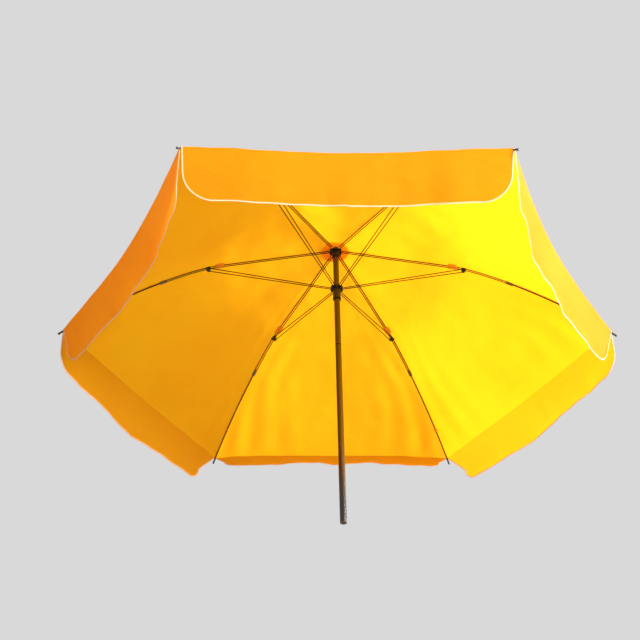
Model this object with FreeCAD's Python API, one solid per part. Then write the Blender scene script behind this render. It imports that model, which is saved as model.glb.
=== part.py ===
import FreeCAD, Part
import math
import os
from FreeCAD import Rotation, Vector

# Open beach umbrella with six ribs. Millimetres, +Z up the pole, origin at the centre of the pole's foot.
# Everything on rib 0 is built along +X and turned about the pole for the other five.

# Overall sizes
rib_count = 6
canopy_radius = 1000.0  # pole axis to the rib ends
tip_height = 762.0  # rib ends above the foot
crown_height = 1170.0  # rib hinges above the foot
seam_height = 709.5  # joint between the two pole tubes

# Pole
pole_diameter = 22.0
pole_wall = 1.0
seam_gap = 3.0
seam_ring_step = 0.4
splice_half_length = 60.0
splice_wall = 1.5
bush_length = 25.0
bush_wall = 2.0
fit_gap = 0.02  # radial gap of parts pressed or glued together

# Crown and runner
hinge_radius = 19.0  # pole axis to the hinge axes of ribs and stretchers
notched_radius = 24.0
barrel_diameter = 6.4
barrel_side = 0.4  # barrel's length beyond the ribs' wires
barrel_bore = 4.4
notch_side_gap = 0.4
notch_floor_gap = 0.3
crown_top_thickness = 4.5
crown_under_thickness = 6.0
crown_neck_radius = 14.3
crown_neck_length = 24.0
crown_roof = 6.0
ring_wire = 2.4
cross_pin_diameter = 3.0
cap_radius = 16.0
cap_rim = 3.0
cap_dome = 10.0
cap_stem_diameter = 6.0
patch_radius = 55.0
patch_thickness = 0.8
flange_half_thickness = 5.0
sleeve_radius = 14.3
sleeve_length = 48.0
collar_radius = 15.3
collar_height = 4.0
sliding_gap = 0.3

# Runner catch: a leaf inside the pole with a nose under the runner
catch_leaf = (7.0, 0.8, 44.0)
catch_leaf_radius = 8.4
catch_nose_width = 2.8
catch_nose_height = 18.0
catch_nose_reach = 13.6
catch_nose_toe = 11.2
catch_gap = 0.3
catch_top_gap = 0.4

# Ribs: twin wires, then a single rod held in a ferrule
inner_slope = 10.5  # degrees below level
bend_start = 430.0
bend_end = 540.0
bend_slope = 23.0
wire_diameter = 3.2
rod_side_gap = 0.1  # rod to the wires on each side of it in the ferrule
wires_end = 658.0
rod_start = 642.0
rod_diameter = 4.6
ferrule_centre = 650.0
ferrule_size = (28.0, 12.0, 5.6)
tip_cap_diameter = 7.0
tip_cap_length = 26.0
tip_cap_overhang = 5.0

# Stretchers and the joint where they meet the ribs
joint_radius = 486.0
pivot_drop = 5.2
clip_length = 16.0
clip_side_wall = 1.0
clip_above = 3.0
clip_below = 8.4
clip_round = 1.0
pin_diameter = 3.0
pin_running_gap = 0.05
pin_head_radius = 2.8
pin_head_thickness = 1.5
stretcher_side_gap = 0.35
stretcher_inner_offset = 3.5
eye_radius = 3.2

# Canopy panels, straps and valance
canopy_clearance = 5.6  # rib centre line to the cloth above it
cloth_thickness = 1.2
cloth_gap = 0.3
canopy_inner_radius = 26.0
hem_setback = 8.0
pad_centre = 442.0
pad_length = 34.0
tie_centre = 885.0
tie_length = 9.0
strap_wall = 1.2
strap_play = 0.6
valance_drop = 160.0
valance_thickness = 1.0
valance_corner = 60.0
valance_setback = 12.0
side_slope_margin = 0.06
# inward lean of each valance from straight down, for the edge after rib 0, 1, 2 ... in degrees
valance_lean = (2.0, 46.0, 2.0, 30.0, 36.0, 30.0)

up = Vector(0, 0, 1)
across = Vector(0, 1, 0)
sector = 360.0 / rib_count
half_sector = math.radians(sector / 2)
wire_radius = wire_diameter / 2
rib_wire_offset = (rod_diameter + wire_diameter) / 2 + rod_side_gap
barrel_half_length = rib_wire_offset + wire_radius + barrel_side
clip_half_width = rib_wire_offset + wire_radius + clip_side_wall
pole_radius = pole_diameter / 2
pole_bore_radius = pole_radius - pole_wall
hem_radius = canopy_radius - hem_setback
barrel_wall_middle = (barrel_bore + barrel_diameter) / 4


def sine(degrees):
    return math.sin(math.radians(degrees))


def cosine(degrees):
    return math.cos(math.radians(degrees))


# The rib's centre line in the XZ plane: a straight slope, a bend over the joint and a long arc to the end
bend_radius = (bend_end - bend_start) / (sine(bend_slope) - sine(inner_slope))
bend_start_height = crown_height - (bend_start - hinge_radius) * math.tan(math.radians(inner_slope))
bend_end_height = bend_start_height - bend_radius * (cosine(inner_slope) - cosine(bend_slope))
outer_run = canopy_radius - bend_end
outer_drop = bend_end_height - tip_height
end_slope = 2 * math.degrees(math.atan2(outer_drop, outer_run)) - bend_slope
outer_radius = outer_run / (sine(end_slope) - sine(bend_slope))
canopy_lift = max(canopy_clearance, (rod_diameter / 2 + cloth_gap) / cosine(end_slope))


def rib_slope(radius):
    """Degrees below level at a distance from the pole axis."""
    if radius <= bend_start:
        return inner_slope
    if radius <= bend_end:
        return math.degrees(math.asin(sine(inner_slope) + (radius - bend_start) / bend_radius))
    return math.degrees(math.asin(sine(bend_slope) + (radius - bend_end) / outer_radius))


def rib_height(radius):
    slope = cosine(rib_slope(radius))
    if radius <= bend_start:
        return crown_height - (radius - hinge_radius) * math.tan(math.radians(inner_slope))
    if radius <= bend_end:
        return bend_start_height - bend_radius * (cosine(inner_slope) - slope)
    return bend_end_height - outer_radius * (cosine(bend_slope) - slope)


joint_height = rib_height(joint_radius) - pivot_drop
runner_height = 2 * joint_height - crown_height
stretcher_offset = clip_half_width + stretcher_side_gap + wire_radius
crown_top = crown_height + crown_top_thickness
crown_bottom = crown_height - crown_under_thickness
pole_top = crown_top - crown_roof
runner_bottom = runner_height - flange_half_thickness - sleeve_length
hem_height = rib_height(hem_radius) + canopy_lift


def rib_path(start, end, side=0.0, lift=0.0):
    """Edges along the rib between two distances from the pole axis."""
    def point(radius):
        return Vector(radius, side, rib_height(radius) + lift)

    stations = [start] + [bend for bend in (bend_start, bend_end) if start < bend < end] + [end]
    edges = []
    for near, far in zip(stations, stations[1:]):
        if far <= bend_start:
            edges.append(Part.LineSegment(point(near), point(far)).toShape())
        else:
            edges.append(Part.Arc(point(near), point((near + far) / 2), point(far)).toShape())
    return edges


def rib_bar(start, end, diameter, side=0.0):
    """A round bar that follows the rib, of a straight run and a turn about the centre of each bend."""
    stations = [start] + [bend for bend in (bend_start, bend_end) if start < bend < end] + [end]
    pieces = []
    for near, far in zip(stations, stations[1:]):
        slope = rib_slope(near)
        centre = Vector(near, side, rib_height(near))
        direction = Vector(cosine(slope), 0, -sine(slope))
        section = Part.Face(Part.Wire(Part.Circle(centre, direction, diameter / 2).toShape()))
        if far <= bend_start:
            pieces.append(section.extrude(direction * ((far - near) / cosine(slope))))
        else:
            radius = bend_radius if far <= bend_end else outer_radius
            pivot = centre - Vector(sine(slope), 0, cosine(slope)) * radius
            pieces.append(section.revolve(pivot, across, rib_slope(far) - slope))
    if len(pieces) == 1:
        return pieces[0]
    return pieces[0].fuse(pieces[1:]).removeSplitter()


def straight_bar(start, end, diameter):
    run = end - start
    return Part.makeCylinder(diameter / 2, run.Length, start, run)


def upright_tube(outer, inner, bottom, top):
    height = top - bottom
    tube = Part.makeCylinder(outer, height, Vector(0, 0, bottom))
    return tube.cut(Part.makeCylinder(inner, height, Vector(0, 0, bottom)))


def cross_bar(radius, height, reach, bar_radius):
    """A bar across the rib's plane, from -reach to +reach."""
    return Part.makeCylinder(bar_radius, 2 * reach, Vector(radius, -reach, height), across)


def box_on_rib(radius, length, half_width, low, high):
    """A box square to the rib at a distance from the pole axis, low and high measured from the rib's line."""
    box = Part.makeBox(length, 2 * half_width, high - low, Vector(-length / 2, -half_width, low))
    box.rotate(Vector(0, 0, 0), across, rib_slope(radius))
    box.translate(Vector(radius, 0, rib_height(radius)))
    return box


def revolved(points):
    """A solid of revolution about the pole from its outline as (radius, height) pairs."""
    outline = [Vector(radius, 0, height) for radius, height in points]
    face = Part.Face(Part.makePolygon(outline + outline[:1]))
    return face.revolve(Vector(0, 0, 0), up, 360)


def turned(shape, index):
    copy = shape.copy()
    copy.rotate(Vector(0, 0, 0), up, index * sector)
    return copy


def notched_disc(bottom, top):
    """The disc that holds six hinge barrels, each in its own notch."""
    disc = Part.makeCylinder(notched_radius, top - bottom, Vector(0, 0, bottom))
    half_width = barrel_half_length + notch_side_gap
    floor = hinge_radius - barrel_diameter / 2 - notch_floor_gap
    notch = Part.makeBox(notched_radius, 2 * half_width, top - bottom, Vector(floor, -half_width, bottom))
    return disc.cut([turned(notch, index) for index in range(rib_count)])


def hinge_barrel(height, bars):
    """Twin bars joined by the barrel that turns on a crown or runner hinge."""
    barrel = cross_bar(hinge_radius, height, barrel_half_length, barrel_diameter / 2)
    bore = cross_bar(hinge_radius, height, 2 * barrel_half_length, barrel_bore / 2)
    return barrel.fuse(bars).removeSplitter().cut(bore)


def make_crown():
    crown = notched_disc(crown_bottom, crown_top)
    neck_bottom = crown_bottom - crown_neck_length
    neck = Part.makeCylinder(crown_neck_radius, crown_neck_length, Vector(0, 0, neck_bottom))
    socket = Part.makeCylinder(pole_radius + fit_gap, pole_top - neck_bottom, Vector(0, 0, neck_bottom))
    stem_hole = Part.makeCylinder(cap_stem_diameter / 2 + fit_gap, crown_roof, Vector(0, 0, pole_top))
    ring_seat = Part.makeTorus(hinge_radius, ring_wire / 2 + fit_gap, Vector(0, 0, crown_height))
    return crown.fuse(neck).removeSplitter().cut([socket, stem_hole, ring_seat, cross_pin(fit_gap)])


def cross_pin(gap=0.0):
    """The pin that locks the crown's neck to the pole."""
    height = crown_bottom - crown_neck_length / 2
    return cross_bar(0, height, crown_neck_radius, cross_pin_diameter / 2 + gap)


def patch_outline():
    """Underside of the cloth disc over the crown, from its centre hole to its edge."""
    ridge = canopy_lift + cloth_thickness + cloth_gap
    flat = rib_height(canopy_inner_radius) + ridge
    hole = cap_stem_diameter / 2 + sliding_gap
    return [(hole, flat), (canopy_inner_radius, flat), (patch_radius, rib_height(patch_radius) + ridge)]


def make_crown_patch():
    under = patch_outline()
    over = [(radius, height + patch_thickness) for radius, height in reversed(under)]
    return revolved(under + over)


def make_top_cap():
    base = patch_outline()[0][1] + patch_thickness
    rim = base + cap_rim
    peak = Vector(0, 0, rim + cap_dome)
    ball_radius = (cap_radius ** 2 + cap_dome ** 2) / (2 * cap_dome)
    ball = Part.makeSphere(ball_radius, peak - up * ball_radius)
    dome = ball.common(Part.makeCylinder(cap_radius, cap_dome, Vector(0, 0, rim)))
    band = Part.makeCylinder(cap_radius, cap_rim, Vector(0, 0, base))
    stem = Part.makeCylinder(cap_stem_diameter / 2, base - pole_top, Vector(0, 0, pole_top))
    return dome.fuse([band, stem]).removeSplitter()


def make_runner():
    disc = notched_disc(runner_height - flange_half_thickness, runner_height + flange_half_thickness)
    sleeve = Part.makeCylinder(sleeve_radius, sleeve_length, Vector(0, 0, runner_bottom))
    collar = Part.makeCylinder(collar_radius, collar_height, Vector(0, 0, runner_bottom))
    height = sleeve_length + 2 * flange_half_thickness
    bore = Part.makeCylinder(pole_radius + sliding_gap, height, Vector(0, 0, runner_bottom))
    return disc.fuse([sleeve, collar]).removeSplitter().cut(bore)


def make_catch():
    """Leaf and nose on the +Y side; the nose's flat top holds up the runner."""
    width, thickness, length = catch_leaf
    top = runner_bottom - catch_top_gap
    foot = top - catch_nose_height
    back = catch_leaf_radius - thickness
    leaf = Part.makeBox(width, thickness, length, Vector(-width / 2, back, top - length))
    corners = [(back, foot), (back, top), (catch_nose_reach, top), (catch_nose_toe, foot)]
    outline = [Vector(-catch_nose_width / 2, reach, height) for reach, height in corners]
    nose = Part.Face(Part.makePolygon(outline + outline[:1])).extrude(Vector(catch_nose_width, 0, 0))
    return leaf.fuse(nose).removeSplitter()


def catch_slot():
    half_width = catch_nose_width / 2 + catch_gap
    bottom = runner_bottom - catch_top_gap - catch_nose_height - catch_gap
    height = catch_nose_height + 2 * catch_gap
    return Part.makeBox(2 * half_width, pole_radius, height, Vector(-half_width, pole_bore_radius / 2, bottom))


def pole_parts():
    splice_radius = pole_bore_radius - fit_gap
    splice_bore = splice_radius - splice_wall
    seam_low = seam_height - seam_gap / 2
    seam_high = seam_height + seam_gap / 2
    splice = upright_tube(splice_radius, splice_bore, seam_height - splice_half_length,
                          seam_height + splice_half_length)
    seam_ring = upright_tube(pole_radius - seam_ring_step, splice_bore, seam_low, seam_high)
    upper = upright_tube(pole_radius, pole_bore_radius, seam_high, pole_top)
    return {
        "upper_pole": upper.cut([cross_pin(fit_gap), catch_slot()]),
        "lower_pole": upright_tube(pole_radius, pole_bore_radius, 0, seam_low),
        "pole_splice": splice.fuse(seam_ring).removeSplitter(),
        "foot_bush": upright_tube(pole_bore_radius - fit_gap, pole_bore_radius - bush_wall, 0, bush_length),
        "crown": make_crown(),
        "crown_ring": Part.makeTorus(hinge_radius, ring_wire / 2, Vector(0, 0, crown_height)),
        "crown_pin": cross_pin(),
        "crown_patch": make_crown_patch(),
        "top_cap": make_top_cap(),
        "runner": make_runner(),
        "runner_catch": make_catch(),
    }


def rib_wires(gap=0.0):
    """The two wires, a little fatter where they are used to bore what holds them."""
    diameter = wire_diameter + 2 * gap
    start = hinge_radius + barrel_wall_middle
    return [rib_bar(start, wires_end, diameter, side * rib_wire_offset) for side in (1, -1)]


def make_rib_ferrule():
    length, width, height = ferrule_size
    block = box_on_rib(ferrule_centre, length, width / 2, -height / 2, height / 2)
    block = block.makeFillet(height / 4, block.Edges)
    rod = rib_bar(rod_start, ferrule_centre + length, rod_diameter + 2 * fit_gap)
    return block.cut(rib_wires(fit_gap) + [rod])


def tip_cap_frame():
    """Start, direction of the cap on the rod's end."""
    slope = rib_slope(canopy_radius)
    direction = Vector(cosine(slope), 0, -sine(slope))
    end = Vector(canopy_radius, 0, rib_height(canopy_radius)) + direction * tip_cap_overhang
    return end - direction * tip_cap_length, direction


def make_tip_cap():
    start, direction = tip_cap_frame()
    body = Part.makeCylinder(tip_cap_diameter / 2, tip_cap_length, start, direction)
    body = body.fuse(Part.makeSphere(tip_cap_diameter / 2 + 0.5, start + direction * tip_cap_length))
    return body.cut(rib_bar(rod_start, canopy_radius, rod_diameter + 2 * fit_gap)).removeSplitter()


def make_joint_clip():
    """Clip on both wires, with the pin that the stretcher turns on."""
    block = box_on_rib(joint_radius, clip_length, clip_half_width, -clip_below, clip_above)
    block = block.makeFillet(clip_round, block.Edges)
    hole = cross_bar(joint_radius, joint_height, clip_half_width, pin_diameter / 2 + fit_gap)
    block = block.cut(rib_wires(fit_gap) + [hole])
    shank = stretcher_offset + wire_radius + stretcher_side_gap
    pin = cross_bar(joint_radius, joint_height, shank, pin_diameter / 2)
    for side in (1, -1):
        start = Vector(joint_radius, side * shank, joint_height)
        pin = pin.fuse(Part.makeCylinder(pin_head_radius, pin_head_thickness, start, across * side))
    return Part.makeCompound([block, pin.removeSplitter()])


def make_stretcher():
    bars = []
    holes = []
    for side in (1, -1):
        eye_side = side * stretcher_offset
        eye_start = Vector(joint_radius, eye_side - wire_radius, joint_height)
        bars.append(Part.makeCylinder(eye_radius, wire_diameter, eye_start, across))
        hole_start = eye_start - across * wire_radius
        holes.append(Part.makeCylinder(pin_diameter / 2 + pin_running_gap, 2 * wire_diameter, hole_start, across))
        eye = Vector(joint_radius, eye_side, joint_height)
        hinge = Vector(hinge_radius, side * stretcher_inner_offset, runner_height)
        run = eye - hinge
        bars.append(straight_bar(eye, hinge + run * (barrel_wall_middle / run.Length), wire_diameter))
    return hinge_barrel(runner_height, bars).cut(holes)


def strap(radius, length, inside_half_width):
    """A cloth strap that hangs from the canopy and passes under the rib."""
    slope = rib_slope(radius)
    outside = inside_half_width + strap_wall
    drop = math.tan(half_sector) * outside * math.tan(math.radians(slope))
    top = (canopy_lift - drop + cloth_thickness / 2) * cosine(slope)
    inside_low = -rod_diameter / 2 - strap_play
    outer = box_on_rib(radius, length, outside, inside_low - strap_wall, top)
    return outer.cut(box_on_rib(radius, 2 * length, inside_half_width, inside_low, 2 * top))


def half_panel(side):
    """The cloth from a rib to the middle of the next gore: the rib's line moved along the hem, cut to its sector."""
    lower = rib_path(hinge_radius, hem_radius, lift=canopy_lift)
    upper = rib_path(hinge_radius, hem_radius, lift=canopy_lift + cloth_thickness)
    ends = []
    for radius in (hinge_radius, hem_radius):
        foot = Vector(radius, 0, rib_height(radius) + canopy_lift)
        ends.append(Part.LineSegment(foot, foot + up * cloth_thickness).toShape())
    profile = Part.Face(Part.Wire(Part.__sortEdges__(lower + upper + ends)))
    along_hem = Vector(-math.sin(half_sector), side * math.cos(half_sector), 0)
    cloth = profile.extrude(along_hem * canopy_radius)
    reach = canopy_radius * 1.1
    gap = Vector(math.sin(half_sector), -side * math.cos(half_sector), 0) * (cloth_gap / 2)
    corners = [Vector(0, 0, 0), Vector(reach, 0, 0)]
    corners.append(Vector(reach, side * reach * math.tan(half_sector), 0) + gap)
    corners.append(gap)
    wedge = Part.Face(Part.makePolygon(corners + corners[:1])).extrude(up * 2 * crown_height)
    return cloth.common(wedge)


def make_panel():
    panel = half_panel(1).fuse(half_panel(-1)).removeSplitter()
    pad_room = rib_wire_offset + wire_radius + strap_play
    tie_room = rod_diameter / 2 + strap_play
    panel = panel.fuse([strap(pad_centre, pad_length, pad_room), strap(tie_centre, tie_length, tie_room)])
    start, direction = tip_cap_frame()
    cap_room = Part.makeCylinder(tip_cap_diameter / 2 + cloth_gap, 2 * tip_cap_length, start, direction)
    crown_room = Part.makeCylinder(canopy_inner_radius, 2 * crown_height)
    return panel.cut([cap_room, crown_room]).removeSplitter()


def valance_outline(lean):
    """Half a valance, flat: along the hem from the rib's end to mid edge, and down."""
    edge = hem_radius * math.sin(half_sector) - cloth_gap / 2
    side_slope = math.tan(half_sector) * max(sine(lean), 0) + side_slope_margin
    corner = valance_drop - valance_corner
    side_foot = valance_setback + side_slope * corner
    middle = (side_foot + valance_corner * (1 - cosine(45)), corner + valance_corner * sine(45))
    return edge, side_foot, corner, middle


def half_valance(side, lean):
    edge, side_foot, corner, middle = valance_outline(lean)
    along = Vector(-math.sin(half_sector), side * math.cos(half_sector), 0)
    inward = Vector(-math.cos(half_sector), -side * math.sin(half_sector), 0)
    down = inward * sine(lean) - up * cosine(lean)
    normal = along.cross(down)
    tuck = cloth_gap + valance_thickness * max(sine(lean), 0)
    start = Vector(hem_radius, 0, hem_height - tuck)

    def place(distance, depth):
        return start + along * distance + down * depth

    foot = place(side_foot, corner)
    rounded_end = place(side_foot + valance_corner, valance_drop)
    outline = Part.Wire([
        Part.LineSegment(place(valance_setback, 0), place(edge, 0)).toShape(),
        Part.LineSegment(place(edge, 0), place(edge, valance_drop)).toShape(),
        Part.LineSegment(place(edge, valance_drop), rounded_end).toShape(),
        Part.Arc(rounded_end, place(*middle), foot).toShape(),
        Part.LineSegment(foot, place(valance_setback, 0)).toShape(),
    ])
    return Part.Face(outline).extrude(normal * valance_thickness)


def make_valance(index):
    """The halves of the two valances that meet at this rib's end."""
    after = half_valance(1, valance_lean[index])
    before = half_valance(-1, valance_lean[index - 1])
    return Part.makeCompound([after, before])


def rib_parts():
    wires = hinge_barrel(crown_height, rib_wires())
    return {
        "rib_wires": wires,
        "rib_ferrule": make_rib_ferrule(),
        "rib_rod": rib_bar(rod_start, canopy_radius, rod_diameter),
        "rib_tip": make_tip_cap(),
        "joint_clip": make_joint_clip(),
        "stretcher": make_stretcher(),
        "canopy_panel": make_panel(),
    }


def write(name, shape):
    shape.exportStep(os.path.join("parts", name + ".step"))


def main():
    os.makedirs("parts", exist_ok=True)
    for name, shape in pole_parts().items():
        write(name, shape)
    for name, shape in rib_parts().items():
        for index in range(rib_count):
            write(f"{name}_{index + 1}", turned(shape, index))
    for index in range(rib_count):
        write(f"valance_{index + 1}", turned(make_valance(index), index))


main()
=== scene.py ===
import bpy
import math
from mathutils import Matrix, Vector, noise


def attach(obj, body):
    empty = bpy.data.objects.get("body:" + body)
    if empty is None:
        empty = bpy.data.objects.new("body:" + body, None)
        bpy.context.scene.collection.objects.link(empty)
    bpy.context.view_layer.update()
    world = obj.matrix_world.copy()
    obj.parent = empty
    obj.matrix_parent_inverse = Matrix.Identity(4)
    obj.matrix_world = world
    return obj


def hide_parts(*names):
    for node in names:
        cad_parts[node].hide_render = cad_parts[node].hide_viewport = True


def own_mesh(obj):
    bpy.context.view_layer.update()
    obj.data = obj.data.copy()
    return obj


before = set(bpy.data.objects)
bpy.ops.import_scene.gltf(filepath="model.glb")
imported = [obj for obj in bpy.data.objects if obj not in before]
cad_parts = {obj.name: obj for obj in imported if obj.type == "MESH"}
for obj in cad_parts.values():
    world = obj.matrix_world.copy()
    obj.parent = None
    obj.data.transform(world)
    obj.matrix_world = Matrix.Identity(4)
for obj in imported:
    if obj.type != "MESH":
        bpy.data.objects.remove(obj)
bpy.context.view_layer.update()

ribCount = 6
sector = math.radians(60)
halfSector = sector / 2

# the rib's line, as the CAD has it, in metres and degrees
rib = {
    "hingeRadius": 0.019,
    "hingeHeight": 1.170,
    "bendStart": 0.430,
    "bendEnd": 0.540,
    "endRadius": 1.000,
    "endHeight": 0.762,
    "innerSlope": 10.5,
    "bendSlope": 23.0,
}


def sine(degrees):
    return math.sin(math.radians(degrees))


def cosine(degrees):
    return math.cos(math.radians(degrees))


bendRadius = (rib["bendEnd"] - rib["bendStart"]) / (sine(rib["bendSlope"]) - sine(rib["innerSlope"]))
innerFall = (rib["bendStart"] - rib["hingeRadius"]) * math.tan(math.radians(rib["innerSlope"]))
bendStartHeight = rib["hingeHeight"] - innerFall
bendEndHeight = bendStartHeight - bendRadius * (cosine(rib["innerSlope"]) - cosine(rib["bendSlope"]))
outerRun = rib["endRadius"] - rib["bendEnd"]
endSlope = 2 * math.degrees(math.atan2(bendEndHeight - rib["endHeight"], outerRun)) - rib["bendSlope"]
outerRadius = outerRun / (sine(endSlope) - sine(rib["bendSlope"]))


def ribSlope(r):
    if r <= rib["bendStart"]:
        return math.radians(rib["innerSlope"])
    if r <= rib["bendEnd"]:
        return math.asin(sine(rib["innerSlope"]) + (r - rib["bendStart"]) / bendRadius)
    return math.asin(sine(rib["bendSlope"]) + (r - rib["bendEnd"]) / outerRadius)


def ribHeight(r):
    level = math.cos(ribSlope(r))
    if r <= rib["bendStart"]:
        return rib["hingeHeight"] - (r - rib["hingeRadius"]) * math.tan(math.radians(rib["innerSlope"]))
    if r <= rib["bendEnd"]:
        return bendStartHeight - bendRadius * (cosine(rib["innerSlope"]) - level)
    return bendEndHeight - outerRadius * (cosine(rib["bendSlope"]) - level)


def turned(point, index):
    return Matrix.Rotation(index * sector, 4, "Z") @ Vector(point)


def meshPiece(name, points, faces, material, body, smooth=True):
    mesh = bpy.data.meshes.new(name)
    mesh.from_pydata([tuple(p) for p in points], [], faces)
    mesh.validate()
    mesh.update()
    if smooth:
        mesh.polygons.foreach_set("use_smooth", [True] * len(mesh.polygons))
    piece = bpy.data.objects.new(name, mesh)
    bpy.context.scene.collection.objects.link(piece)
    mesh.materials.append(material)
    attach(piece, body)
    return piece


def gridFaces(columns, rows, flip=False):
    faces = []
    for i in range(columns - 1):
        for j in range(rows - 1):
            a = i * rows + j
            quad = (a, a + rows, a + rows + 1, a + 1)
            faces.append(tuple(reversed(quad)) if flip else quad)
    return faces


# ---- node groups shared by the materials

def newGroup(name, inputs, outputs):
    group = bpy.data.node_groups.new(name, "ShaderNodeTree")
    for label, kind, value in inputs:
        socket = group.interface.new_socket(name=label, in_out="INPUT", socket_type=kind)
        if value is not None:
            socket.default_value = value
    for label, kind in outputs:
        group.interface.new_socket(name=label, in_out="OUTPUT", socket_type=kind)
    start = group.nodes.new("NodeGroupInput")
    end = group.nodes.new("NodeGroupOutput")
    return group, start, end


def node(tree, kind, **values):
    made = tree.nodes.new(kind)
    for key, value in values.items():
        if hasattr(made, key):
            setattr(made, key, value)
        else:
            made.inputs[key.replace("_", " ")].default_value = value
    return made


def makeWeaveGroup():
    group, start, end = newGroup("plainWeave", [
        ("Colour", "NodeSocketColor", (1, 1, 1, 1)),
        ("Shade Colour", "NodeSocketColor", (0.5, 0.5, 0.5, 1)),
        ("Threads", "NodeSocketFloat", 900.0),
        ("Crease", "NodeSocketFloat", 1.0),
        ("Blotch", "NodeSocketFloat", 0.3),
    ], [("Colour", "NodeSocketColor"), ("Height", "NodeSocketFloat"), ("Roughness", "NodeSocketFloat")])
    link = group.links.new
    where = node(group, "ShaderNodeTexCoord")
    # warp and weft as two crossed sets of threads
    heights = []
    for direction in ("X", "Y"):
        threads = node(group, "ShaderNodeTexWave", wave_type="BANDS", bands_direction=direction)
        threads.inputs["Distortion"].default_value = 0.6
        threads.inputs["Detail"].default_value = 1.0
        link(where.outputs["Object"], threads.inputs["Vector"])
        link(start.outputs["Threads"], threads.inputs["Scale"])
        heights.append(threads)
    cross = node(group, "ShaderNodeMath", operation="MULTIPLY")
    link(heights[0].outputs["Fac"], cross.inputs[0])
    link(heights[1].outputs["Fac"], cross.inputs[1])
    fine = node(group, "ShaderNodeMath", operation="MULTIPLY")
    link(cross.outputs[0], fine.inputs[0])
    fine.inputs[1].default_value = 0.06
    # soft creases left from folding, long one way
    stretch = node(group, "ShaderNodeMapping")
    stretch.inputs["Scale"].default_value = (1.0, 1.0, 2.2)
    link(where.outputs["Object"], stretch.inputs["Vector"])
    broad = node(group, "ShaderNodeTexNoise")
    broad.inputs["Scale"].default_value = 7.0
    broad.inputs["Detail"].default_value = 3.0
    broad.inputs["Distortion"].default_value = 0.7
    link(stretch.outputs["Vector"], broad.inputs["Vector"])
    crease = node(group, "ShaderNodeMath", operation="MULTIPLY")
    link(broad.outputs["Fac"], crease.inputs[0])
    link(start.outputs["Crease"], crease.inputs[1])
    total = node(group, "ShaderNodeMath", operation="ADD")
    link(fine.outputs[0], total.inputs[0])
    link(crease.outputs[0], total.inputs[1])
    link(total.outputs[0], end.inputs["Height"])
    # uneven dye and a faint thread pattern in the colour
    patch = node(group, "ShaderNodeTexNoise")
    patch.inputs["Scale"].default_value = 3.1
    patch.inputs["Detail"].default_value = 4.0
    link(where.outputs["Object"], patch.inputs["Vector"])
    spread = node(group, "ShaderNodeMapRange")
    spread.inputs["From Min"].default_value = 0.35
    spread.inputs["From Max"].default_value = 0.75
    link(patch.outputs["Fac"], spread.inputs["Value"])
    amount = node(group, "ShaderNodeMath", operation="MULTIPLY")
    link(spread.outputs["Result"], amount.inputs[0])
    link(start.outputs["Blotch"], amount.inputs[1])
    thread = node(group, "ShaderNodeMath", operation="MULTIPLY_ADD")
    link(cross.outputs[0], thread.inputs[0])
    thread.inputs[1].default_value = -0.12
    link(amount.outputs[0], thread.inputs[2])
    mix = node(group, "ShaderNodeMix", data_type="RGBA")
    link(thread.outputs[0], mix.inputs["Factor"])
    link(start.outputs["Colour"], mix.inputs[6])
    link(start.outputs["Shade Colour"], mix.inputs[7])
    link(mix.outputs[2], end.inputs["Colour"])
    rough = node(group, "ShaderNodeMath", operation="MULTIPLY_ADD")
    link(patch.outputs["Fac"], rough.inputs[0])
    rough.inputs[1].default_value = 0.2
    rough.inputs[2].default_value = 0.55
    link(rough.outputs[0], end.inputs["Roughness"])
    return group


def makeWearGroup():
    group, start, end = newGroup("handlingWear", [
        ("Colour", "NodeSocketColor", (1, 1, 1, 1)),
        ("Worn Colour", "NodeSocketColor", (0.5, 0.5, 0.5, 1)),
        ("Wear", "NodeSocketFloat", 0.3),
        ("Grain", "NodeSocketFloat", 300.0),
        ("Roughness", "NodeSocketFloat", 0.4),
        ("Smudge", "NodeSocketFloat", 0.15),
    ], [("Colour", "NodeSocketColor"), ("Roughness", "NodeSocketFloat"), ("Height", "NodeSocketFloat")])
    link = group.links.new
    where = node(group, "ShaderNodeTexCoord")
    scuff = node(group, "ShaderNodeTexNoise")
    scuff.inputs["Scale"].default_value = 55.0
    scuff.inputs["Detail"].default_value = 6.0
    scuff.inputs["Roughness"].default_value = 0.7
    link(where.outputs["Object"], scuff.inputs["Vector"])
    limit = node(group, "ShaderNodeMapRange")
    limit.inputs["From Min"].default_value = 0.56
    limit.inputs["From Max"].default_value = 0.72
    link(scuff.outputs["Fac"], limit.inputs["Value"])
    worn = node(group, "ShaderNodeMath", operation="MULTIPLY")
    link(limit.outputs["Result"], worn.inputs[0])
    link(start.outputs["Wear"], worn.inputs[1])
    mix = node(group, "ShaderNodeMix", data_type="RGBA")
    link(worn.outputs[0], mix.inputs["Factor"])
    link(start.outputs["Colour"], mix.inputs[6])
    link(start.outputs["Worn Colour"], mix.inputs[7])
    link(mix.outputs[2], end.inputs["Colour"])
    smear = node(group, "ShaderNodeTexNoise")
    smear.inputs["Scale"].default_value = 18.0
    smear.inputs["Detail"].default_value = 3.0
    link(where.outputs["Object"], smear.inputs["Vector"])
    rough = node(group, "ShaderNodeMath", operation="MULTIPLY_ADD")
    link(smear.outputs["Fac"], rough.inputs[0])
    link(start.outputs["Smudge"], rough.inputs[1])
    link(start.outputs["Roughness"], rough.inputs[2])
    link(rough.outputs[0], end.inputs["Roughness"])
    grain = node(group, "ShaderNodeTexNoise")
    grain.inputs["Detail"].default_value = 2.0
    link(where.outputs["Object"], grain.inputs["Vector"])
    link(start.outputs["Grain"], grain.inputs["Scale"])
    link(grain.outputs["Fac"], end.inputs["Height"])
    return group


weave = makeWeaveGroup()
wear = makeWearGroup()


def newMaterial(name):
    material = bpy.data.materials.new(name)
    material.use_nodes = True
    tree = material.node_tree
    shader = tree.nodes["Principled BSDF"]
    return material, tree, shader


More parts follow.
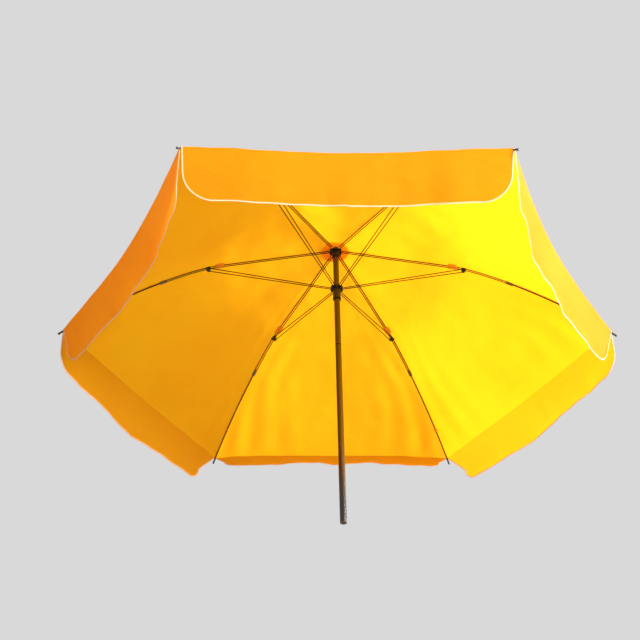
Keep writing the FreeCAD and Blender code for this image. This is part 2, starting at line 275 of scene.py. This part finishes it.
def clothMaterial(name, look):
    material, tree, shader = newMaterial(name)
    link = tree.links.new
    group = node(tree, "ShaderNodeGroup", node_tree=weave)
    group.inputs["Colour"].default_value = (*look["colour"], 1)
    group.inputs["Shade Colour"].default_value = (*look["shade"], 1)
    group.inputs["Threads"].default_value = look["threads"]
    group.inputs["Crease"].default_value = look["crease"]
    group.inputs["Blotch"].default_value = look["blotch"]
    bump = node(tree, "ShaderNodeBump")
    bump.inputs["Strength"].default_value = 0.55
    bump.inputs["Distance"].default_value = look["bump"]
    link(group.outputs["Height"], bump.inputs["Height"])
    link(group.outputs["Colour"], shader.inputs["Base Color"])
    link(group.outputs["Roughness"], shader.inputs["Roughness"])
    link(bump.outputs["Normal"], shader.inputs["Normal"])
    shader.inputs["Sheen Weight"].default_value = look["sheen"]
    shader.inputs["Sheen Roughness"].default_value = 0.5
    shader.inputs["Specular IOR Level"].default_value = 0.12
    through = node(tree, "ShaderNodeBsdfTranslucent")
    link(group.outputs["Colour"], through.inputs["Color"])
    link(bump.outputs["Normal"], through.inputs["Normal"])
    mix = node(tree, "ShaderNodeMixShader")
    mix.inputs[0].default_value = look["through"]
    link(shader.outputs[0], mix.inputs[1])
    link(through.outputs[0], mix.inputs[2])
    link(mix.outputs[0], tree.nodes["Material Output"].inputs["Surface"])
    return material


def hardMaterial(name, look):
    material, tree, shader = newMaterial(name)
    link = tree.links.new
    group = node(tree, "ShaderNodeGroup", node_tree=wear)
    group.inputs["Colour"].default_value = (*look["colour"], 1)
    group.inputs["Worn Colour"].default_value = (*look["worn"], 1)
    group.inputs["Wear"].default_value = look["wear"]
    group.inputs["Grain"].default_value = look["grain"]
    group.inputs["Roughness"].default_value = look["roughness"]
    group.inputs["Smudge"].default_value = look["smudge"]
    bump = node(tree, "ShaderNodeBump")
    bump.inputs["Strength"].default_value = look["bump"]
    bump.inputs["Distance"].default_value = 0.0004
    link(group.outputs["Height"], bump.inputs["Height"])
    link(group.outputs["Colour"], shader.inputs["Base Color"])
    link(group.outputs["Roughness"], shader.inputs["Roughness"])
    link(bump.outputs["Normal"], shader.inputs["Normal"])
    shader.inputs["Metallic"].default_value = look["metal"]
    shader.inputs["Coat Weight"].default_value = look["coat"]
    shader.inputs["Coat Roughness"].default_value = 0.12
    shader.inputs["Specular IOR Level"].default_value = look.get("specular", 0.5)
    return material


canopyCloth = clothMaterial("canopyCloth", {
    "colour": (0.96, 0.45, 0.006), "shade": (0.94, 0.34, 0.004), "threads": 900, "crease": 1.0,
    "blotch": 0.6, "bump": 0.009, "sheen": 0.03, "through": 0.65})
# the flaps' and rib seams' cloth is the canopy's fabric painted a little darker and more orange: painted shade, as on
# a flap out of the sun
valanceClothPaintedShade = clothMaterial("valanceClothPaintedShade", {
    "colour": (0.96, 0.42, 0.006), "shade": (0.93, 0.32, 0.004), "threads": 900, "crease": 1.0,
    "blotch": 0.6, "bump": 0.020, "sheen": 0.03, "through": 0.6})
# the crown patch is canopy fabric painted lighter and yellower, so the doubled cloth at the crown shows less dark:
# painted light
patchClothPaintedLight = clothMaterial("patchClothPaintedLight", {
    "colour": (0.97, 0.62, 0.05), "shade": (0.95, 0.50, 0.03), "threads": 900, "crease": 0.5,
    "blotch": 0.4, "bump": 0.003, "sheen": 0.1, "through": 0.8})
# the straps are canopy fabric painted lighter and yellower, so the doubled cloth under the ribs shows less dark:
# painted light
strapClothPaintedLight = clothMaterial("strapClothPaintedLight", {
    "colour": (0.97, 0.62, 0.06), "shade": (0.95, 0.50, 0.03), "threads": 700, "crease": 0.5,
    "blotch": 0.4, "bump": 0.002, "sheen": 0.1, "through": 0.7})
hemTape = clothMaterial("hemTape", {
    "colour": (0.96, 0.66, 0.42), "shade": (0.90, 0.48, 0.22), "threads": 1200, "crease": 0.3,
    "blotch": 0.5, "bump": 0.001, "sheen": 0.2, "through": 0.3})
poleMetal = hardMaterial("poleMetal", {
    "colour": (0.10, 0.085, 0.075), "worn": (0.22, 0.20, 0.18), "wear": 0.3, "grain": 500, "roughness": 0.13,
    "smudge": 0.1, "bump": 0.02, "metal": 1.0, "coat": 0.3})
wireMetal = hardMaterial("wireMetal", {
    "colour": (0.012, 0.004, 0.002), "worn": (0.05, 0.02, 0.01), "wear": 0.25, "grain": 600, "roughness": 0.5,
    "smudge": 0.15, "bump": 0.04, "metal": 0.0, "coat": 0.0, "specular": 0.12})
ferruleMetal = hardMaterial("ferruleMetal", {
    "colour": (0.16, 0.11, 0.06), "worn": (0.08, 0.05, 0.03), "wear": 0.3, "grain": 400, "roughness": 0.3,
    "smudge": 0.15, "bump": 0.05, "metal": 0.9, "coat": 0.0})
blackPlastic = hardMaterial("blackPlastic", {
    "colour": (0.012, 0.011, 0.011), "worn": (0.05, 0.045, 0.04), "wear": 0.25, "grain": 900, "roughness": 0.42,
    "smudge": 0.2, "bump": 0.15, "metal": 0.0, "coat": 0.1})
footPlastic = hardMaterial("footPlastic", {
    "colour": (0.50, 0.30, 0.26), "worn": (0.30, 0.20, 0.17), "wear": 0.5, "grain": 700, "roughness": 0.5,
    "smudge": 0.2, "bump": 0.12, "metal": 0.0, "coat": 0.0})

cadFinish = {
    "upper_pole": poleMetal, "lower_pole": poleMetal, "pole_splice": wireMetal, "crown": blackPlastic,
    # the crown patch's cloth is painted lighter: painted light
    "crown_ring": wireMetal, "crown_pin": wireMetal, "top_cap": blackPlastic, "crown_patch": patchClothPaintedLight,
    "foot_bush": footPlastic, "runner": blackPlastic, "runner_catch": poleMetal,
}
ribFinish = {
    "rib_wires": wireMetal, "rib_ferrule": ferruleMetal, "rib_rod": wireMetal, "rib_tip": blackPlastic,
    "joint_clip": blackPlastic, "stretcher": wireMetal,
}
for name, finish in ribFinish.items():
    for n in range(1, ribCount + 1):
        cadFinish[f"{name}_{n}"] = finish
for name, finish in cadFinish.items():
    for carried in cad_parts[name].material_slots:
        carried.material = finish
print("materials done")


# ---- canopy: each gore is two halves, and each half goes with its own rib

canopy = {
    "innerRadius": 0.026,
    "hemRadius": 0.992,
    "lift": 0.0062,  # cloth above the rib's line
    # how far the middle of a gore sinks below the straight chord, for the gore after rib 1, 2 and so on
    "hollow": (0.014, 0.014, 0.014, 0.024, 0.022, 0.024),
    # how far the hem is drawn in at the middle of a gore
    "hemCurve": (0.004, 0.020, 0.004, 0.046, 0.034, 0.050),
    "ripple": 0.007,
    "pull": 0.012,
    "along": 150,
    "acrossHalf": 48,
    "foldedWidth": 0.20,
    "flat": (0.50, 1.09),
    "area": 0.262,
}


def goreOf(index, side):
    return index if side > 0 else (index - 1) % ribCount


def hemAt(index, v, side):
    return canopy["hemRadius"] - canopy["hemCurve"][goreOf(index, side)] * v * (2 - v)


def canopyPoint(r, v, side, lift=0.0, index=0):
    # v is 0 on the rib and 1 in the middle of the gore
    half = math.sin(halfSector) * r * v
    reach = (r - canopy["innerRadius"]) / (canopy["hemRadius"] - canopy["innerRadius"])
    sink = canopy["hollow"][goreOf(index, side)] * math.sin(v * math.pi / 2) ** 2
    sink *= math.sin(min(1.0, reach * 1.25) * math.pi / 2)
    return Vector((r - half * math.sin(halfSector), side * half * math.cos(halfSector),
                   ribHeight(r) + canopy["lift"] - sink + lift))


def goreSurface(index, r, v, side, lift=0.0):
    p = turned(canopyPoint(r, v, side, lift, index), index)
    calm = min(1.0, v * 5) * min(1.0, (r - canopy["innerRadius"]) * 6)
    calm *= min(1.0, 0.25 + (canopy["hemRadius"] - r) * 6)
    # soft unevenness, the same on both sides of the line where two halves meet
    soft = noise.noise(Vector((p.x * 5.0, p.y * 5.0, 0.3))) + 0.5 * noise.noise(Vector((p.x * 13.0, p.y * 13.0, 4.1)))
    p.z += canopy["ripple"] * calm * soft
    # short pulls that run in from the hem near each rib's end
    fromHem = hemAt(index, v, side) - r
    pull = math.exp(-fromHem / 0.22) * (1 - v) ** 2 * min(1.0, v * 6) * min(1.0, 0.2 + fromHem * 20)
    p.z += canopy["pull"] * pull * math.sin(v * 24.0 + 2.0 * math.sin(r * 9.0 + index))
    return p


ribSeam = {"halfWidth": 0.0018, "raised": 0.0009}
for index in range(ribCount):
    n = index + 1
    points = []
    for i in range(canopy["along"] + 1):
        r = 0.050 + (canopy["hemRadius"] - 0.052) * i / canopy["along"]
        for t in (-1.0, -0.85, -0.3, 0.0, 0.3, 0.85, 1.0):
            side = 1 if t >= 0 else -1
            v = abs(t) * ribSeam["halfWidth"] / (math.sin(halfSector) * math.cos(halfSector) * r)
            raised = ribSeam["raised"] if abs(t) < 0.9 else -0.0003
            points.append(turned(canopyPoint(min(r, canopy["hemRadius"]), min(v, 1.0), side, raised), index))
    # the seam strip takes the darker flap cloth, which carries painted shade
    seam = meshPiece(f"ribSeam{n}", points, gridFaces(canopy["along"] + 1, 7), valanceClothPaintedShade, f"rib_{n}")
    for side, word in ((1, "After"), (-1, "Before")):
        points = []
        for i in range(canopy["along"] + 1):
            for j in range(canopy["acrossHalf"] + 1):
                v = j / canopy["acrossHalf"]
                r = canopy["innerRadius"] + (hemAt(index, v, side) - canopy["innerRadius"]) * i / canopy["along"]
                points.append(goreSurface(index, r, v, side))
        faces = gridFaces(canopy["along"] + 1, canopy["acrossHalf"] + 1, flip=side < 0)
        half = meshPiece(f"canopyHalf{word}{n}", points, faces, canopyCloth, f"rib_{n}")
        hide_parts(f"canopy_panel_{n}")
        slope = math.atan2(rib["hingeHeight"] - rib["endHeight"], rib["endRadius"])
        turned((0.5, 0, ribHeight(0.5) + canopy["lift"]), index)
        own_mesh(half)
print("canopy done")


# ---- valance: two flaps hang from each rib's end and meet in the middle of the hem

valance = {
    "drop": 0.160,
    "setback": 0.004,
    # inward lean in degrees at the first rib, in the middle and at the next rib,
    # for the edge after rib 1, 2 and so on; a negative lean is outward
    "lean": ((2, -12, 0), (44, 46, 44), (0, -12, 2), (16, 19, 10), (36, 37, 36), (8, 14, 18)),
    # how fast the free end slopes away from the rib as it goes down, at the first rib and at the next
    "slope": ((0.03, 0.92), (0.50, 0.50), (0.92, 0.03), (0.02, 0.60), (0.04, 0.04), (0.60, 0.05)),
    "corner": ((0.070, 0.050), (0.07, 0.07), (0.050, 0.070), (0.055, 0.06), (0.085, 0.085), (0.06, 0.070)),
    "wave": 0.006,
    "columns": 70,
    "rows": 22,
    "flat": (0.49, 0.160),
    "area": 0.075,
    "foldedWidth": 0.12,
}


def valanceSide(depth, slope, corner):
    # where the free end of the flap lies at this depth, with the rounded corner
    straight = valance["drop"] - corner
    if depth <= straight:
        return valance["setback"] + slope * depth
    into = min(1.0, (depth - straight) / corner)
    return valance["setback"] + slope * straight + corner * (1 - math.sqrt(max(0.0, 1 - into * into)))


def ribbonAlong(path, widths, heights):
    # a flat tape that follows a path; widths and heights give its section's axes at each point
    points, faces = [], []
    section = [(-1, -0.6), (-0.6, -1), (0.6, -1), (1, -0.6), (1, 0.6), (0.6, 1), (-0.6, 1), (-1, 0.6)]
    for centre, wide, high in zip(path, widths, heights):
        for a, b in section:
            points.append(centre + wide * a + high * b)
    count = len(section)
    for i in range(len(path) - 1):
        for j in range(count):
            k = (j + 1) % count
            faces.append((i * count + j, i * count + k, (i + 1) * count + k, (i + 1) * count + j))
    faces.append(tuple(reversed(range(count))))
    last = (len(path) - 1) * count
    faces.append(tuple(range(last, last + count)))
    return points, faces


def flapPlace(index, side):
    # gives the function that puts a point of the flat flap in its place, and the flap's half length
    edgeIndex = goreOf(index, side)
    leans = valance["lean"][edgeIndex]
    endLean = leans[0] if side > 0 else leans[2]
    edge = canopy["hemRadius"] * math.sin(halfSector)
    inward = turned((-math.cos(halfSector), -side * math.sin(halfSector), 0), index)

    def place(distance, depth, lift=0.0):
        v = min(1.0, distance / edge)
        lean = endLean + (leans[1] - endLean) * v * v * (3 - 2 * v)
        down = inward * sine(lean) - Vector((0, 0, 1)) * cosine(lean)
        outward = -inward * cosine(lean) - Vector((0, 0, 1)) * sine(lean)
        top = goreSurface(index, hemAt(index, v, side), v, side, 0.0004)
        fromMiddle = edge - distance
        hang = depth / valance["drop"]
        swing = valance["wave"] * hang * math.cos(fromMiddle * 17.0) * (0.6 + 0.4 * math.cos(fromMiddle * 41.0))
        swing += 0.009 * hang * noise.noise(Vector((top.x * 7.0, top.y * 7.0, 2.0 + edgeIndex)))
        swing += 0.0025 * hang * noise.noise(Vector((top.x * 22.0, top.y * 22.0, 6.0 + depth * 9.0)))
        return top + down * depth + outward * (swing + lift)

    end = 0 if side > 0 else 1
    return place, edge, valance["slope"][edgeIndex][end], valance["corner"][edgeIndex][end]


for index in range(ribCount):
    n = index + 1
    for side, word in ((1, "After"), (-1, "Before")):
        place, edge, slope, corner = flapPlace(index, side)
        points = []
        for i in range(valance["columns"] + 1):
            share = (i / valance["columns"]) ** 1.3
            for j in range(valance["rows"] + 1):
                depth = valance["drop"] * math.sin(j / valance["rows"] * math.pi / 2)
                near = valanceSide(depth, slope, corner)
                points.append(place(near + (edge - near) * share, depth))
        faces = gridFaces(valance["columns"] + 1, valance["rows"] + 1, flip=side > 0)
        # the flap's cloth is painted darker and more orange than the canopy's: painted shade
        flap = meshPiece(f"valanceHalf{word}{n}", points, faces, valanceClothPaintedShade, f"valance_{n}")
        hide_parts(f"valance_{n}")

        # hem tape round the flap's free edge
        straight = valance["drop"] - corner
        route = [(valanceSide(straight * k / 20, slope, corner), straight * k / 20) for k in range(21)]
        base = valanceSide(straight, slope, corner)
        for k in range(1, 25):
            turn = k / 24 * math.pi / 2
            route.append((base + corner * (1 - math.cos(turn)), straight + corner * math.sin(turn)))
        bottomStart = route[-1][0]
        for k in range(1, 91):
            route.append((bottomStart + (edge - bottomStart) * k / 90, valance["drop"]))
        path = [place(d, h) for d, h in route]
        widths, heights = [], []
        for k in range(len(path)):
            ahead = path[min(k + 1, len(path) - 1)] - path[max(k - 1, 0)]
            out = place(route[k][0], route[k][1], 0.01) - path[k]
            widths.append(ahead.cross(out).normalized() * 0.0022)
            heights.append(out.normalized() * 0.0010)
        points, faces = ribbonAlong([p - w * 0.5 for p, w in zip(path, widths)], widths, heights)
        tape = meshPiece(f"valanceHem{word}{n}", points, faces, hemTape, f"valance_{n}")
        for piece in (flap, tape):
            turned((canopy["hemRadius"], 0, ribHeight(canopy["hemRadius"])), index)
            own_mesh(piece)
print("valance done")


# ---- straps that hold the cloth to the ribs

straps = {
    "pads": {"radius": 0.442, "length": 0.034, "room": 0.0062, "below": 0.0029, "cut": 0.040},
    "ties": {"radius": 0.885, "length": 0.010, "room": 0.0029, "below": 0.0029, "cut": 0.026},
    "thickness": 0.0012,
}


def strapPiece(name, index, look):
    # a loop of cloth under the rib, its two ends sewn to the canopy
    outline = []
    wide = look["room"] + straps["thickness"] / 2
    low = -look["below"] - straps["thickness"] / 2
    for k in range(13):
        angle = math.pi * k / 12
        outline.append((-wide * math.cos(angle) * (1.0 + 0.25 * (1 - math.sin(angle))),
                        low * math.sin(angle) ** 0.6 if 0 < k < 12 else 0.0))
    outline = [(-wide * 1.35, canopy["lift"] * 0.55)] + outline + [(wide * 1.35, canopy["lift"] * 0.55)]
    outline = [(-wide * 1.9, None)] + outline + [(wide * 1.9, None)]
    rows = 9
    points = []
    for i in range(rows):
        r = look["radius"] + look["length"] * (i / (rows - 1) - 0.5)
        slope = ribSlope(r)
        for t, h in outline:
            pinch = 1.0 - 0.06 * math.cos((i / (rows - 1) - 0.5) * math.pi * 2)
            if h is None:
                v = abs(t) / (math.sin(halfSector) * math.cos(halfSector) * r)
                side = 1 if t > 0 else -1
                p = canopyPoint(r + abs(t) * math.tan(halfSector), v, side, -0.0007)
                p.y = t
                points.append(turned(p, index))
            else:
                centre = Vector((r, 0, ribHeight(r)))
                normal = Vector((math.sin(slope), 0, math.cos(slope)))
                points.append(turned(centre + normal * h * pinch + Vector((0, t, 0)), index))
    faces = gridFaces(rows, len(outline))
    n = index + 1
    # the strap's cloth is painted lighter and yellower: painted light
    piece = meshPiece(name, points, faces, strapClothPaintedLight, f"rib_{n}")
    thick = piece.modifiers.new("cloth", "SOLIDIFY")
    thick.thickness = straps["thickness"]
    thick.offset = 0
    round_ = piece.modifiers.new("soft", "SUBSURF")
    round_.levels = 1
    round_.render_levels = 1
    return piece


for index in range(ribCount):
    strapPiece(f"jointPad{index + 1}", index, straps["pads"])
    strapPiece(f"rodTie{index + 1}", index, straps["ties"])
print("straps done")


# ---- floor, light and camera

floorMesh = bpy.data.meshes.new("studioFloor")
rim = [(math.cos(k * math.pi / 24), math.sin(k * math.pi / 24)) for k in range(48)]
floorPoints = [(0.0125 * x, 0.0125 * y, -0.0005) for x, y in rim] + [(12 * x, 12 * y, -0.0005) for x, y in rim]
floorMesh.from_pydata(floorPoints, [], [(k, k + 48, (k + 1) % 48 + 48, (k + 1) % 48) for k in range(48)])
floor = bpy.data.objects.new("studioFloor", floorMesh)
bpy.context.scene.collection.objects.link(floor)
floorPaint, floorTree, floorShader = newMaterial("floorPaint")
floorShader.inputs["Base Color"].default_value = (0.34, 0.34, 0.34, 1)
floorShader.inputs["Roughness"].default_value = 0.9
facing = node(floorTree, "ShaderNodeNewGeometry")
clear = node(floorTree, "ShaderNodeBsdfTransparent")
floorMix = node(floorTree, "ShaderNodeMixShader")
floorTree.links.new(facing.outputs["Backfacing"], floorMix.inputs[0])
floorTree.links.new(floorShader.outputs[0], floorMix.inputs[1])
floorTree.links.new(clear.outputs[0], floorMix.inputs[2])
floorTree.links.new(floorMix.outputs[0], floorTree.nodes["Material Output"].inputs["Surface"])
floorMesh.materials.append(floorPaint)

lighting = {
    "backdropGrey": 0.694,
    "skyGrey": 0.44,
    "sunStrength": 7.4,
    "sunFrom": (1.0, 0.10, 0.36),
    "sunSoftness": 12.0,
}
softLamps = {
    "topSoftbox": {"strength": 48.0, "place": (0.9, 0.5, 3.6), "towards": (0, 0, 0.8), "size": (3.0, 3.0)},
    "frontSoftbox": {"strength": 540.0, "place": (2.9, -4.7, 1.0), "towards": (0, -0.4, 0.75), "size": (1.6, 1.6)},
    "leftSoftbox": {"strength": 21.0, "place": (-2.0, -0.5, 2.8), "towards": (-0.3, 0, 1.0), "size": (2.0, 2.0)},
    "sideStrip": {"strength": 12.0, "place": (1.5, -1.1, 0.35), "towards": (0, 0, 0.45), "size": (0.25, 1.6)},
}
world = bpy.data.worlds.new("paleStudio")
bpy.context.scene.world = world
world.use_nodes = True
sky = world.node_tree
backdrop = sky.nodes["Background"]
backdrop.inputs["Color"].default_value = (lighting["backdropGrey"],) * 3 + (1,)
fill = node(sky, "ShaderNodeBackground")
fill.inputs["Color"].default_value = (lighting["skyGrey"],) * 3 + (1,)
seen = node(sky, "ShaderNodeLightPath")
skyMix = node(sky, "ShaderNodeMixShader")
sky.links.new(seen.outputs["Is Camera Ray"], skyMix.inputs[0])
sky.links.new(fill.outputs[0], skyMix.inputs[1])
sky.links.new(backdrop.outputs[0], skyMix.inputs[2])
sky.links.new(skyMix.outputs[0], sky.nodes["World Output"].inputs["Surface"])


def lamp(name, kind, energy, place, towards, size=None):
    data = bpy.data.lights.new(name, kind)
    data.energy = energy
    if size:
        data.shape = "RECTANGLE"
        data.size, data.size_y = size
    made = bpy.data.objects.new(name, data)
    made.location = place
    made.rotation_euler = (Vector(place) - Vector(towards)).to_track_quat("Z", "Y").to_euler()
    bpy.context.scene.collection.objects.link(made)
    return data


sun = lamp("keySun", "SUN", lighting["sunStrength"], lighting["sunFrom"], (0, 0, 0))
sun.angle = math.radians(lighting["sunSoftness"])
for name, soft in softLamps.items():
    lamp(name, "AREA", soft["strength"], soft["place"], soft["towards"], soft["size"])

view = {
    "place": (-0.1463, -2.8545, -1.5577),
    "forward": (0.0074, 0.7719, 0.6358),
    "right": (1.0, -0.0079, -0.0020),
    "lens": 57.43,
    "shift": (0.0235, 0.0111),
}
camera = bpy.data.cameras.new("viewpoint")
camera.lens = view["lens"]
camera.sensor_width = 36.0
camera.shift_x, camera.shift_y = view["shift"]
camera.clip_start = 0.05
camera.clip_end = 50
forward = Vector(view["forward"]).normalized()
right = Vector(view["right"])
right = (right - forward * right.dot(forward)).normalized()
upward = right.cross(forward)
turn = Matrix((right, upward, -forward)).transposed().to_4x4()
eye = bpy.data.objects.new("viewpoint", camera)
eye.matrix_world = Matrix.Translation(Vector(view["place"])) @ turn
bpy.context.scene.collection.objects.link(eye)
bpy.context.scene.camera = eye
bpy.context.scene.view_settings.view_transform = "Standard"
print("studio done")
